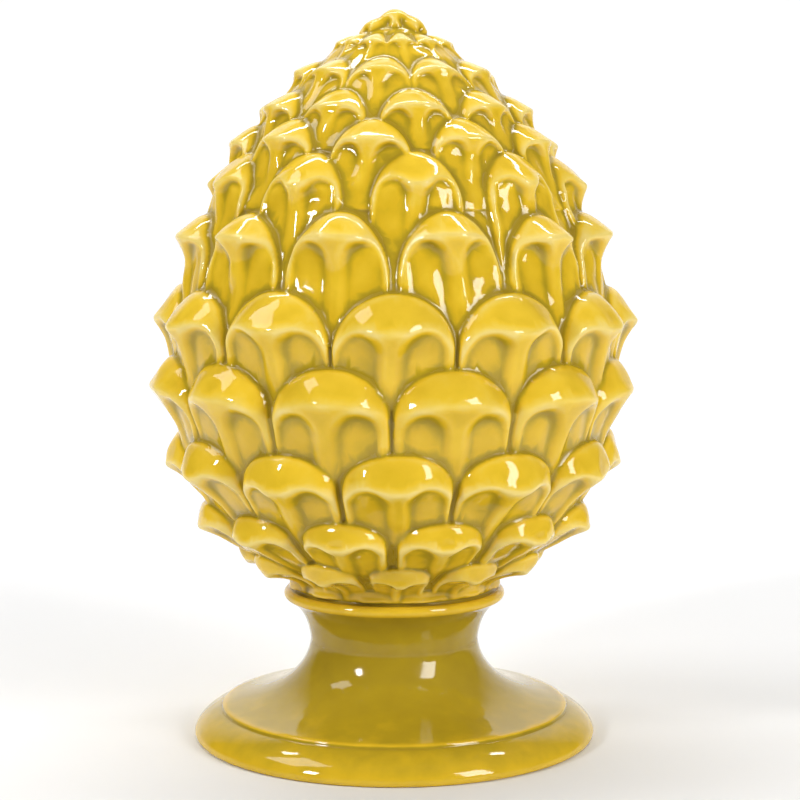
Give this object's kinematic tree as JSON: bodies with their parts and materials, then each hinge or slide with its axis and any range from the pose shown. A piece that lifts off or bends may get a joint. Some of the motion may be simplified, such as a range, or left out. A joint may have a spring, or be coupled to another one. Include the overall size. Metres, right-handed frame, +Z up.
{
  "type": "pinecone finial",
  "caption": "Glazed ceramic pinecone finial: overlapping ribbed scales on an egg-shaped body, on a waisted stem with a lipped collar and a round spreading foot, hollow and open below.",
  "frame": {"origin": "centre of the bounding box at the bottom, where the foot ring meets the ground", "axes": "+Z up through the tip, -Y towards the viewer of the picture, +X to the viewer's right"},
  "size_m": [0.1997, 0.1994, 0.3],
  "materials": {
    "yellow_glaze": "glossy transparent yellow glaze, paler on edges and darker in hollows"
  },
  "bodies": {
    "root": {"pinecone_finial": "yellow_glaze"}
  },
  "joints": []
}
